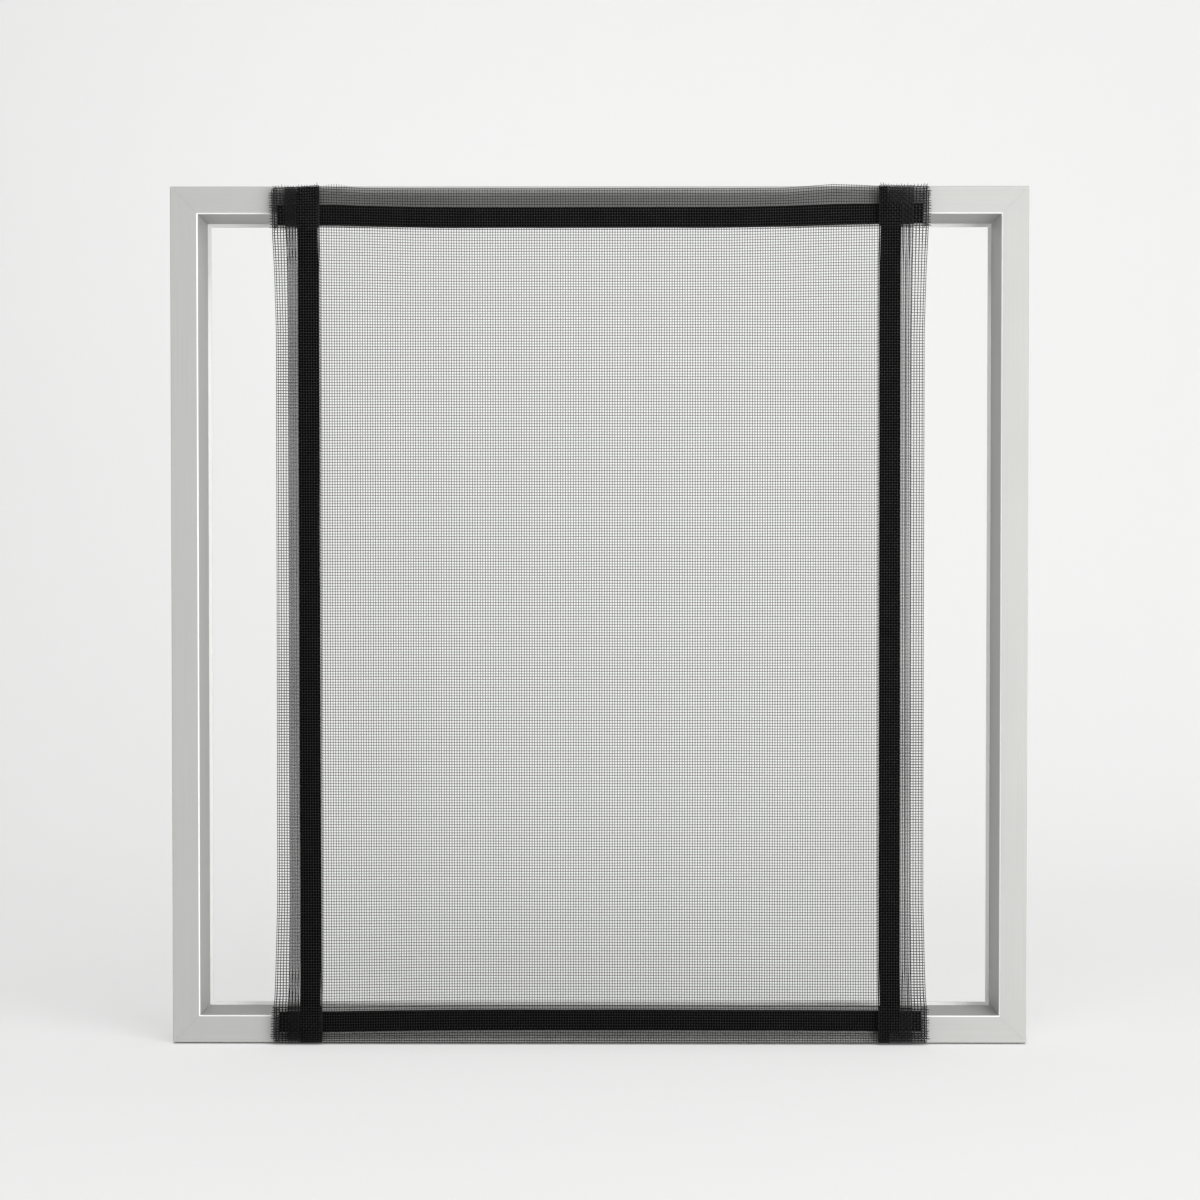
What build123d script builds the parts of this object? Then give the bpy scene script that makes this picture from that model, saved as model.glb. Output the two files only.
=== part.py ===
"""Window insect screen.

A square frame of mitred aluminium profile carries a panel of coated glass-fibre mesh. Each edge of
the panel is turned twice to the front, and the hem holds a flexible magnetic strip. The strips of
the top and bottom hems cling to narrow steel tapes on the two rails.

Millimetres. +X is to the right seen from the front, the front faces -Y and +Z is up. The origin is
the middle of the frame's underside.
"""

import math
import os

from build123d import *

# Frame
frame_width = 500.0
frame_height = 500.0
frame_depth = 40.0
face_width = 16.0
profile_wall = 1.4
chamber_radius = 0.6
lip_reach = 2.0
lip_thickness = 1.6
outer_edge_radius = 0.4
inner_edge_radius = 1.0
mitre_gap = 0.08
mitre_overcut = 1.0

# Corner keys, pushed into the chambers of the profiles
key_leg = 46.0
key_clearance = 0.15
key_web = 3.2
key_slot_end = 7.0
key_lead_in = 1.5

# Steel tapes on the front of the rails
tape_width = 3.0
tape_thickness = 0.5
tape_set_back = 1.2
tape_end_inset = 15.0

# Mesh panel, finished size and place
panel_width = 380.0
panel_top_clearance = 0.7
floor_clearance = 0.3
sheet_thickness = 0.3
layer_gap = 0.2
side_hem = 26.5
top_hem = 24.0
bottom_hem = 22.0
side_turn_in = 18.0
top_turn_in = 21.5
bottom_turn_in = 19.5

# Weave of the open field: bands of threads between rows and columns of gaps
gap_columns = 10
gap_rows = 12
band_threads = 4
warp_pitch = 1.51
weft_pitch = 1.6
thread_diameter = 0.3

# Magnetic strips in the hems
strip_width = 12.0
strip_thickness = 1.2
strip_edge_radius = 0.25
strip_clearance = 0.1
strip_end_inset = 0.5
side_strip_inset = 1.2
top_strip_inset = 1.2
bottom_strip_inset = 2.3
top_tongue_width = 3.7
bottom_tongue_width = 5.8

# Places that follow from the sizes above
frame_front = -frame_depth / 2
sheet_y = frame_front - tape_thickness - sheet_thickness / 2
panel_bottom = floor_clearance
panel_top = frame_height - panel_top_clearance
panel_height = panel_top - panel_bottom
half_panel = panel_width / 2
tape_length = panel_width - 2 * tape_end_inset
pocket_rise = sheet_thickness + strip_thickness + 2 * strip_clearance
layer_rise = sheet_thickness + layer_gap
cross_turned_level = layer_rise
cross_front_level = cross_turned_level + pocket_rise
side_turned_level = cross_front_level + layer_rise
side_front_level = side_turned_level + pocket_rise
side_fold_start = half_panel - sheet_thickness / 2 - side_front_level / 2


def profile_section():
    """Section of the hollow profile: X is the depth, Y runs from the outer face inwards."""
    back = frame_depth / 2
    lip_front = back - lip_thickness
    lip_edge = face_width + lip_reach
    outline = Polyline(
        (-back, 0),
        (back, 0),
        (back, lip_edge),
        (lip_front, lip_edge),
        (lip_front, face_width),
        (-back, face_width),
        close=True,
    )
    section = make_face(outline)
    outer_corners = [v for v in section.vertices() if abs(v.Y) < 1e-6]
    lip_corner = [v for v in section.vertices() if v.Y > face_width + 1e-6 and v.X > back - 1e-6]
    section = fillet(outer_corners + lip_corner, outer_edge_radius)
    inner_corner = [v for v in section.vertices() if v.Y > face_width - 1e-6 and v.X < 1e-6 - back]
    section = fillet(inner_corner, inner_edge_radius)
    chamber = RectangleRounded(frame_depth - 2 * profile_wall, face_width - 2 * profile_wall, chamber_radius)
    return section - Pos(0, face_width / 2) * chamber


def bar(length):
    """A profile along X, mitred at both ends, with its outer face on Z = 0."""
    blank = extrude(Plane.YZ * profile_section(), amount=length / 2, both=True)
    set_back = mitre_gap / math.sqrt(2)
    reach = face_width + lip_reach + mitre_overcut
    end = length / 2 - set_back
    outline = Polyline(
        (-end - mitre_overcut, -mitre_overcut),
        (end + mitre_overcut, -mitre_overcut),
        (end - reach, reach),
        (reach - end, reach),
        close=True,
    )
    mitre_block = extrude(Plane.XZ * make_face(outline), amount=frame_depth, both=True)
    return blank & mitre_block


def corner_key():
    """An angle of cast aluminium for the corner at the origin, with one leg along X and one up Z."""
    start = profile_wall + key_clearance
    width = face_width - 2 * start
    end = start + key_leg
    outline = Polyline(
        (start, start),
        (end - key_lead_in, start),
        (end, start + key_lead_in),
        (end, start + width - key_lead_in),
        (end - key_lead_in, start + width),
        (start + width, start + width),
        (start + width, end - key_lead_in),
        (start + width - key_lead_in, end),
        (start + key_lead_in, end),
        (start, end - key_lead_in),
        close=True,
    )
    slot_height = width - 2 * key_web
    slot_length = key_leg - width - key_web - key_slot_end
    slot_centre = start + width + key_web + slot_length / 2
    slot = SlotOverall(slot_length, slot_height)
    face = make_face(outline)
    face -= Pos(slot_centre, start + width / 2) * slot
    face -= Pos(start + width / 2, slot_centre) * Rot(0, 0, 90) * slot
    depth = frame_depth - 2 * (profile_wall + key_clearance)
    key = extrude(Plane.XZ * face, amount=depth / 2, both=True)
    ends = key.faces().filter_by(Axis.Y)
    rims = [edge for end_face in ends for edge in end_face.outer_wire().edges()]
    return chamfer(rims, chamber_radius)


def steel_tape(z_low):
    """A flat tape on the front face of a rail, with its lower edge at z_low."""
    y = frame_front - tape_thickness / 2
    return Pos(0, y, z_low + tape_width / 2) * Box(tape_length, tape_thickness, tape_width)


def hem_lines(outer, hem, turn_in, turned_level, front_level):
    """Centre line of a double-turned hem: X runs out to the fold, Y rises to the front.

    It starts on the main layer, turns over the outer fold, comes back along the front to the
    inner fold, and turns in to its raw edge.
    """
    half = sheet_thickness / 2
    outer_radius = front_level / 2
    inner_radius = (front_level - turned_level) / 2
    fold_start = outer - half - outer_radius
    inner_start = outer - hem + half + inner_radius
    raw_edge = outer - hem + turn_in
    middle = (front_level + turned_level) / 2
    return [
        ThreePointArc((fold_start, 0), (outer - half, outer_radius), (fold_start, front_level)),
        Line((fold_start, front_level), (inner_start, front_level)),
        ThreePointArc(
            (inner_start, front_level),
            (inner_start - inner_radius, middle),
            (inner_start, turned_level),
        ),
        Line((inner_start, turned_level), (raw_edge, turned_level)),
    ]


def main_layer_with_cross_hems():
    """The main layer with the hems along its top and bottom edges, as one folded profile along X."""
    middle = (panel_top + panel_bottom) / 2
    half_height = panel_height / 2
    top = hem_lines(half_height, top_hem, top_turn_in, cross_turned_level, cross_front_level)
    bottom = hem_lines(half_height, bottom_hem, bottom_turn_in, cross_turned_level, cross_front_level)
    bottom = [mirror(line, about=Plane.YZ) for line in bottom]
    fold_start = half_height - sheet_thickness / 2 - cross_front_level / 2
    field = Line((-fold_start, 0), (fold_start, 0))
    section = trace([field, *top, *bottom], line_width=sheet_thickness)
    plane = Plane(origin=(-side_fold_start, sheet_y, middle), x_dir=(0, 0, 1), z_dir=(1, 0, 0))
    return extrude(plane * section, amount=2 * side_fold_start)


def side_hem_strip():
    """The hem along the right edge, which lies over the top and bottom hems in the corners."""
    lines = hem_lines(half_panel, side_hem, side_turn_in, side_turned_level, side_front_level)
    section = trace(lines, line_width=sheet_thickness)
    plane = Plane(origin=(0, sheet_y, panel_top), x_dir=(1, 0, 0), z_dir=(0, 0, -1))
    return extrude(plane * section, amount=panel_height)


def thread_ridge(length, direction):
    """A thread standing half out of a wall on Y = 0 towards -Y, along "X" or "Z", centred on the origin."""
    radius = thread_diameter / 2
    root = sheet_thickness / 2
    outline = Polyline(
        (-radius, -root),
        (radius, -root),
        (radius, 0),
        (radius / 2, radius),
        (-radius / 2, radius),
        (-radius, 0),
        close=True,
    )
    across = (0, 0, 1) if direction == "X" else (-1, 0, 0)
    along = (1, 0, 0) if direction == "X" else (0, 0, 1)
    plane = Plane(origin=(0, 0, 0), x_dir=across, z_dir=along)
    return extrude(plane * make_face(outline), amount=length / 2, both=True)


def band_places(middle, count, pitch):
    """Places of a band of threads, evenly spaced about its middle."""
    return [middle + (thread - (count - 1) / 2) * pitch for thread in range(count)]


def mesh_sheet():
    """The mesh panel: one folded sheet, woven in bands with open gaps between them."""
    right_hem = side_hem_strip()
    left_hem = mirror(right_hem, about=Plane.YZ)
    sheet = main_layer_with_cross_hems() + right_hem + left_hem

    field_width = panel_width - 2 * side_hem
    field_height = panel_height - top_hem - bottom_hem
    field_left = -field_width / 2
    field_bottom = panel_bottom + bottom_hem
    column_pitch = field_width / gap_columns
    row_pitch = field_height / gap_rows
    gap_width = column_pitch - band_threads * warp_pitch
    gap_height = row_pitch - band_threads * weft_pitch
    gap = Box(gap_width, 4 * sheet_thickness, gap_height)
    gaps = []
    for column in range(gap_columns):
        for row in range(gap_rows):
            x = field_left + (column + 0.5) * column_pitch
            z = field_bottom + (row + 0.5) * row_pitch
            gaps.append(Pos(x, sheet_y, z) * gap)
    sheet -= gaps

    # Threads up the front and threads across the back of the open field
    front = sheet_y - sheet_thickness / 2
    back = sheet_y + sheet_thickness / 2
    warp_thread = Pos(0, front, field_bottom + field_height / 2) * thread_ridge(field_height, "Z")
    weft_thread = Pos(0, back, 0) * Rot(0, 0, 180) * thread_ridge(field_width, "X")
    threads = []
    for column in range(1, gap_columns):
        for x in band_places(field_left + column * column_pitch, band_threads, warp_pitch):
            threads.append(Pos(x, 0, 0) * warp_thread)
    for row in range(1, gap_rows):
        for z in band_places(field_bottom + row * row_pitch, band_threads, weft_pitch):
            threads.append(Pos(0, 0, z) * weft_thread)

    # Threads along the front of each hem
    side_front = sheet_y - side_front_level - sheet_thickness / 2
    cross_front = sheet_y - cross_front_level - sheet_thickness / 2
    side_thread = Pos(0, side_front, (panel_top + panel_bottom) / 2) * thread_ridge(panel_height, "Z")
    cross_thread = Pos(0, cross_front, 0) * thread_ridge(field_width, "X")
    side_flat = side_hem - side_front_level
    for x in band_places(half_panel - side_hem / 2, math.floor(side_flat / warp_pitch), warp_pitch):
        threads.append(Pos(x, 0, 0) * side_thread)
        threads.append(Pos(-x, 0, 0) * side_thread)
    top_threads = math.floor((top_hem - cross_front_level) / weft_pitch)
    for z in band_places(panel_top - top_hem / 2, top_threads, weft_pitch):
        threads.append(Pos(0, 0, z) * cross_thread)
    bottom_threads = math.floor((bottom_hem - cross_front_level) / weft_pitch)
    for z in band_places(panel_bottom + bottom_hem / 2, bottom_threads, weft_pitch):
        threads.append(Pos(0, 0, z) * cross_thread)
    return sheet + threads


def magnet_strip(length):
    """A strip lying along X, flat to the front, with its lower edge on Z = 0."""
    section = RectangleRounded(strip_thickness, strip_width, strip_edge_radius)
    return Pos(0, 0, strip_width / 2) * extrude(Plane.YZ * section, amount=length / 2, both=True)


def tongued_strip(length, left_tongue, right_tongue):
    """A strip along X whose ends are cut narrower: each tongue has a length and a width above Z = 0."""
    strip = magnet_strip(length)
    for side, (tongue_length, tongue_width) in ((-1, left_tongue), (1, right_tongue)):
        waste = Box(2 * tongue_length, 2 * strip_thickness, 2 * (strip_width - tongue_width))
        strip -= Pos(side * length / 2, 0, strip_width) * waste
    return strip


def build():
    """Every piece by the name of its node."""
    corners = {
        "bottom_left_key": Pos(-frame_width / 2, 0, 0),
        "top_left_key": Pos(-frame_width / 2, 0, frame_height) * Rot(0, 90, 0),
        "top_right_key": Pos(frame_width / 2, 0, frame_height) * Rot(0, 180, 0),
        "bottom_right_key": Pos(frame_width / 2, 0, 0) * Rot(0, -90, 0),
    }
    rail = bar(frame_width)
    stile = bar(frame_height)
    pieces = {
        "bottom_rail": rail,
        "top_rail": Pos(0, 0, frame_height) * Rot(0, 180, 0) * rail,
        "left_stile": Pos(-frame_width / 2, 0, frame_height / 2) * Rot(0, 90, 0) * stile,
        "right_stile": Pos(frame_width / 2, 0, frame_height / 2) * Rot(0, -90, 0) * stile,
    }
    key = corner_key()
    for name, place in corners.items():
        pieces[name] = place * key

    pieces["bottom_steel_tape"] = steel_tape(face_width - tape_set_back - tape_width)
    pieces["top_steel_tape"] = steel_tape(frame_height - face_width + tape_set_back)
    pieces["mesh_sheet"] = mesh_sheet()

    cross_y = sheet_y - (cross_turned_level + cross_front_level) / 2
    side_y = sheet_y - (side_turned_level + side_front_level) / 2
    cross_strip = magnet_strip(2 * (side_fold_start - strip_end_inset))
    side_strip = magnet_strip(panel_height - 2 * strip_end_inset)
    middle = (panel_top + panel_bottom) / 2
    side_inner = half_panel - side_hem + side_strip_inset
    bottom_strip_z = panel_bottom + bottom_hem - bottom_strip_inset - strip_width
    top_strip_z = panel_top - top_hem + top_strip_inset

    # The right strip narrows where it passes the strips of the top and bottom hems
    bottom_tongue = (bottom_strip_z - panel_bottom - strip_end_inset, bottom_tongue_width)
    top_tongue = (panel_top - strip_end_inset - top_strip_z - strip_width, top_tongue_width)
    right_strip = tongued_strip(panel_height - 2 * strip_end_inset, top_tongue, bottom_tongue)
    pieces["bottom_magnet_strip"] = Pos(0, cross_y, bottom_strip_z) * cross_strip
    pieces["top_magnet_strip"] = Pos(0, cross_y, top_strip_z) * cross_strip
    pieces["left_magnet_strip"] = Pos(-side_inner, side_y, middle) * Rot(0, -90, 0) * side_strip
    pieces["right_magnet_strip"] = Pos(side_inner, side_y, middle) * Rot(0, 90, 0) * right_strip
    return pieces


os.makedirs("parts", exist_ok=True)
for node, solid in build().items():
    export_step(solid, f"parts/{node}.step")
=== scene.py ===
"""Window insect screen: the finish of its aluminium frame, its folded mesh panel and magnetic strips.

Metres, in the frame of the solid model: +X to the right seen from the front, the front faces -Y,
+Z is up and the origin is the middle of the frame's underside.
"""

import math
import random

import bpy
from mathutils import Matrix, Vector, noise


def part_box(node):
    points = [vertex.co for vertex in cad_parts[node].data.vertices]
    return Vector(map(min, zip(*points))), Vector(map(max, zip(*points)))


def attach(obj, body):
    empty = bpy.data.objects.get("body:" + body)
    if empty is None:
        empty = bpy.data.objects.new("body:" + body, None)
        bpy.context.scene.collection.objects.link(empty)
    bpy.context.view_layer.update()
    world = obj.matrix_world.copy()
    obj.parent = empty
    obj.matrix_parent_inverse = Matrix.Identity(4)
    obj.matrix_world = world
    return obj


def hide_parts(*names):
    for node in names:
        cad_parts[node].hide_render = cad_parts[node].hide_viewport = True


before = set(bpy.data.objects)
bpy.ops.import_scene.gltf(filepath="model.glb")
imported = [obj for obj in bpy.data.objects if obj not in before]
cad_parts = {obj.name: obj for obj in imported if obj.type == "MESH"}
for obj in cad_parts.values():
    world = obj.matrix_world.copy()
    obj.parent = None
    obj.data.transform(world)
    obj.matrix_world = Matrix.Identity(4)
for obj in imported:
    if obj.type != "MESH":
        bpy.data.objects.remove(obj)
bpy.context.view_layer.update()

bl_info = {
    "name": "Window Insect Screen",
    "version": (1, 0, 0),
    "blender": (4, 5, 0),
    "location": "3D View > Sidebar > Insect Screen",
    "description": "Dresses a mitred aluminium frame and its magnetic mesh panel",
    "category": "Add Mesh",
}

MM = 0.001
BODY = "root"
SHEET_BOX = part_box("mesh_sheet")
RAIL_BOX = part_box("bottom_rail")
FRAME_BOX = [[min(a, b) for a, b in zip(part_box("left_stile")[0], RAIL_BOX[0])],
             [max(a, b) for a, b in zip(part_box("right_stile")[1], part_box("top_rail")[1])]]
TAPE_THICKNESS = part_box("top_steel_tape")[1][1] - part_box("top_steel_tape")[0][1]
LIP_THICKNESS = 1.6 * MM
RIM_REACH = FRAME_BOX[1][0] - 10 * MM  # the rounded rim lies within this of the middle
PANEL_BOTTOM = SHEET_BOX[0][2]
PANEL_HEIGHT = SHEET_BOX[1][2] - SHEET_BOX[0][2]
PANEL_WIDTH = SHEET_BOX[1][0] - SHEET_BOX[0][0]

# Segments around a fold of the cloth, down from a corner and along a strip
FOLD_STEPS = 3
CORNER_STEPS = 4
STRIP_STEPS = 56

# Stations in the open field: down from the corners for upright threads, and across for level ones
FIELD_GAPS = (35 * MM, 105 * MM)
FIELD_SHARES = (0.2, 0.4, 0.57, 0.72, 0.87)

# The panel's back clears the steel tapes by a hair. Its hems thin out past the ends of the strips.
TAPE_CLEARANCE = 0.01 * MM
STRIP_END_GAP = 2.5 * MM
THINNING_RUN = 6 * MM

# How far the panel's side edges, and its side strips, have drifted to the right
EDGE_DRIFT = 0.45 * MM
STRIP_DRIFT = 0.13 * MM

# Swells of the panel's top edge: the rise of each in millimetres, its place across and its breadth
TOP_SWELLS = ((2.8, -155 * MM, 11 * MM), (2.5, 144 * MM, 23 * MM), (1.0, 190 * MM, 6 * MM))

# The cloth's waves: their size across and up, and how far they move it across, up and forward
WAVE_ACROSS, WAVE_UP = 45 * MM, 60 * MM
SWAY, HEAVE, BILLOW = 0.16 * MM, 0.18 * MM, 0.4 * MM

# The waves in which the first and the second fold of a hem are out of true
FOLD_WAVE, TURN_WAVE = 70 * MM, 50 * MM

# How far a frayed end starts inside its fold at the sides and at the top, the two rows at the sides,
# and how far out from a side hem's inner edge some ends hang down
SIDE_ROOT = 0.8 * MM
TOP_ROOT = 0.6 * MM
SIDE_ROWS = (-0.6 * MM, 0.9 * MM)
HANGING_FROM = 11 * MM

# The studio's floor and the backdrop that it curves up into
FLOOR_WIDTH, FLOOR_DEPTH, FLOOR_MIDDLE = 9, 8, -2.0
BACKDROP_HEIGHT = 3
CURVE_RADIUS = 1.3
CURVE_SEGMENTS = 24

# Share of the glow in what the eye sees of the floor and backdrop, and the strip in front of the
# frame that has none: painted shade, which deepens the real contact shadow there
GLOW_SHARE = 0.48
SHADED_MARGIN = 2.5 * MM

# Width of the camera's sensor, in millimetres
SENSOR_WIDTH = 36

# Each light's name, place, target and size
LIGHTS = (
    ("key_right", (1.75, -2.2, 0.32), (0, 0, 0.2), (2.2, 0.6)),
    ("fill_left", (-1.1, -2.6, 0.32), (0, 0, 0.2), (2.0, 0.6)),
    ("top_front", (0.3, -1.2, 1.9), (0, -0.5, 0), (1.6, 1.0)),
    ("backdrop_wash", (0.5, 1.0, 1.1), (0.7, 1.55, 0.0), (2.4, 0.5)),
)


def linear(code):
    """The linear red, green, blue and alpha of an sRGB hex colour."""
    channels = [int(code[i : i + 2], 16) / 255 for i in (1, 3, 5)]
    return [c / 12.92 if c <= 0.04045 else ((c + 0.055) / 1.055) ** 2.4 for c in channels] + [1.0]


def length(name, description, default):
    """A length that a user can change."""
    return bpy.props.FloatProperty(
        name=name, description=description, default=default, min=0.0, precision=5, unit="LENGTH"
    )


def number(name, description, default):
    """A plain number that a user can change."""
    return bpy.props.FloatProperty(name=name, description=description, default=default, precision=4)


def power(name, description, default):
    """The power of a light, in watts."""
    return bpy.props.FloatProperty(name=name, description=description, default=default, unit="POWER")


def angle(name, description, degrees):
    """An angle that a user can change."""
    return bpy.props.FloatProperty(
        name=name, description=description, default=math.radians(degrees), subtype="ANGLE"
    )


def colour(name, description, code):
    """A colour that a user can change."""
    return bpy.props.FloatVectorProperty(
        name=name, description=description, default=linear(code), size=4, min=0.0, max=1.0, subtype="COLOR"
    )


class ScreenSheet(bpy.types.PropertyGroup):
    """Sizes of the mesh panel."""

    thread: length("Thread", "Diameter of a coated thread", 0.295 * MM)
    warp_pitch: length("Warp pitch", "Distance between the upright threads", 1.511 * MM)
    weft_pitch: length("Weft pitch", "Distance between the level threads", 1.603 * MM)
    side_hem: length("Side hem", "Width of the hems at the sides", 26.5 * MM)
    top_hem: length("Top hem", "Height of the hem along the top", 24.0 * MM)
    bottom_hem: length("Bottom hem", "Height of the hem along the bottom", 22.0 * MM)
    side_turn_in: length("Side turn-in", "Depth of the cloth turned in behind a side hem", 19.2 * MM)
    top_turn_in: length("Top turn-in", "Cloth turned in behind the top hem", 21.5 * MM)
    bottom_turn_in: length("Bottom turn-in", "Cloth turned in behind the bottom hem", 19.5 * MM)
    layer_step: length("Layer step", "Distance between two layers that touch", 0.46 * MM)
    waist: length("Waist", "How far each side is drawn in at mid-height", 1.3 * MM)
    top_flare: length("Top flare", "How far each side widens again towards the top", 2.3 * MM)
    bottom_flare: length("Bottom flare", "How far each side widens again towards the bottom", 1.7 * MM)
    corner_flare: length("Corner flare", "How far the bottom corners stand out beyond that", 0.7 * MM)
    strip_inset: length("Strip inset", "How far the side strips have crept inwards", 1.5 * MM)
    strip_lean: length("Strip lean", "How far the side strips lean to the left at the top", 0.36 * MM)
    corner_run: length("Corner run", "Height over which a side hem drops from its corner", 26.0 * MM)
    fold_lean: length("Fold lean", "How far a front layer's threads lie inside those behind", 0.34 * MM)
    draw_in: number("Draw-in", "Share by which a layer that stands a metre forward would be narrower", 0.66)
    skew: length("Skew", "How far a fold is out of true along its edge", 0.22 * MM)
    fray: length("Fray", "Length of the thread ends that stand out at the corners", 1.2 * MM)
    crowding_left: number("Crowding, left", "Pitch of the threads at the turned-in edge, as a share", 0.34)
    crowding_right: number("Crowding, right", "Pitch of the threads at the turned-in edge, as a share", 0.66)


class ScreenStrip(bpy.types.PropertyGroup):
    """Sizes of the magnetic strips."""

    width: length("Width", "Width of a strip", 12.0 * MM)
    thickness: length("Thickness", "Thickness of a strip", 1.2 * MM)
    edge: length("Edge", "Rounding along a strip's edges", 0.25 * MM)
    room: length("Room", "Gap between a strip and the cloth around it", 0.05 * MM)
    top_tongue: length("Top tongue", "Width of the right strip past the top strip", 3.7 * MM)
    bottom_tongue: length("Bottom tongue", "Width of the right strip past the bottom strip", 5.8 * MM)


class ScreenColours(bpy.types.PropertyGroup):
    """Colours of the screen and of the stage."""

    aluminium: colour("Aluminium", "Satin anodised profile", "#B8B8B6")
    aluminium_dark: colour("Aluminium, darker drawing", "Fine lines along the profile", "#B4B4B2")
    # The lip colour is a painted highlight, near white, for the lip and the rounded rim of the opening
    lip: colour("Lip and rim", "Bright lip and rounded rim of the opening", "#F8F8F7")
    cast: colour("Cast key", "Corner keys as cast", "#9A9A98")
    steel: colour("Steel tape", "Plain rolled tape", "#A8A8A6")
    thread: colour("Thread", "Black PVC coating", "#060607")
    # Painted highlight: the paler colour painted on the crowns of the weave as glints
    thread_painted_glint: colour("Thread, rubbed", "Coating on the crowns of the weave", "#4C4C4E")
    magnet: colour("Magnet", "Black flexible magnet", "#040404")
    magnet_dust: colour("Magnet, dusty", "Powdery bloom on the magnet", "#080808")
    floor: colour("Floor", "Pale studio floor", "#FCFCFB")


class ScreenStudio(bpy.types.PropertyGroup):
    """Camera and light."""

    focal: number("Focal length", "In millimetres, for a 36 mm sensor", 75.0)
    distance: length("Distance", "Camera to the front of the frame", 1.460)
    height: length("Height", "Camera above the floor", 0.2573)
    pitch: angle("Pitch", "How far the camera looks down", 1.27)
    yaw: angle("Yaw", "How far the camera looks to the left", 0.27)
    shift_x: number("Shift across", "In picture widths", 0.0104)
    shift_y: number("Shift up", "In picture widths", 0.0491)
    key_power: power("Key", "Power of the light at the right", 53.0)
    fill_power: power("Fill", "Power of the light at the left", 10.0)
    top_power: power("Top", "Power of the light overhead", 20.0)
    wash_power: power("Wash", "Power of the light on the backdrop, turned away from the screen", 2.4)
    floor_gap: length("Floor gap", "Hairline between the frame's underside and the floor", 0.8 * MM)
    sky: number("Surround", "Strength of the even surrounding light", 0.24)
    glow: number("Backdrop", "Paleness of the backdrop in the picture", 1.0)


def use(obj, body=BODY):
    """Let a finished piece ride on its body."""
    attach(obj, body)


def add_node(tree, kind, inputs=None, **settings):
    """Add a node with its settings, and fill its inputs with values or link them to other sockets."""
    made = tree.nodes.new(kind)
    for name, value in settings.items():
        setattr(made, name, value)
    for key, value in (inputs or {}).items():
        if isinstance(value, bpy.types.NodeSocket):
            tree.links.new(value, made.inputs[key])
        else:
            made.inputs[key].default_value = value
    return made


def new_material(name):
    """A material with an empty node tree and its output."""
    material = bpy.data.materials.new(name)
    material.use_nodes = True
    tree = material.node_tree
    tree.nodes.clear()
    return material, tree, add_node(tree, "ShaderNodeOutputMaterial")


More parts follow.
